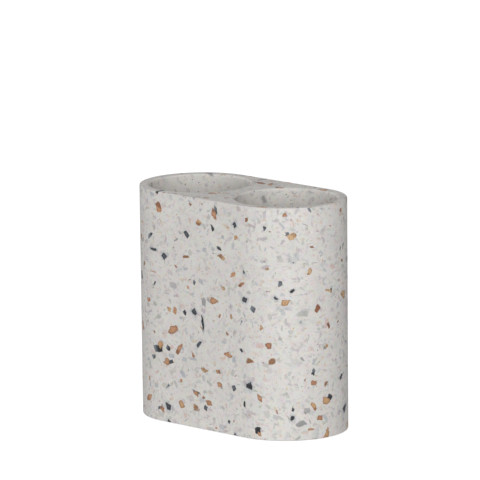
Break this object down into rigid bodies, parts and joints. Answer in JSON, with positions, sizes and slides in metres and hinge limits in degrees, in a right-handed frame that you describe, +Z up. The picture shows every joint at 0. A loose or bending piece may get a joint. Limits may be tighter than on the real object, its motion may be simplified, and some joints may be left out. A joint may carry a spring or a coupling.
{
  "type": "toothbrush holder",
  "caption": "Free-standing terrazzo holder with two deep round cups side by side in one body with round ends, on a soft foot pad.",
  "frame": {"origin": "centre of the foot pad's underside, on the surface that the holder stands on", "axes": "+X along the row of two cups, +Y from the front to the back, +Z up out of the cups' mouths"},
  "size_m": [0.113, 0.058, 0.1105],
  "materials": {
    "terrazzo": "satin, ground and honed, with ochre, slate and grey chips",
    "adhesive": "translucent pressure-sensitive film",
    "foam": "matt closed-cell foam"
  },
  "bodies": {
    "root": {"body": "terrazzo", "pad_film": "adhesive", "foot_pad": "foam"}
  },
  "joints": []
}
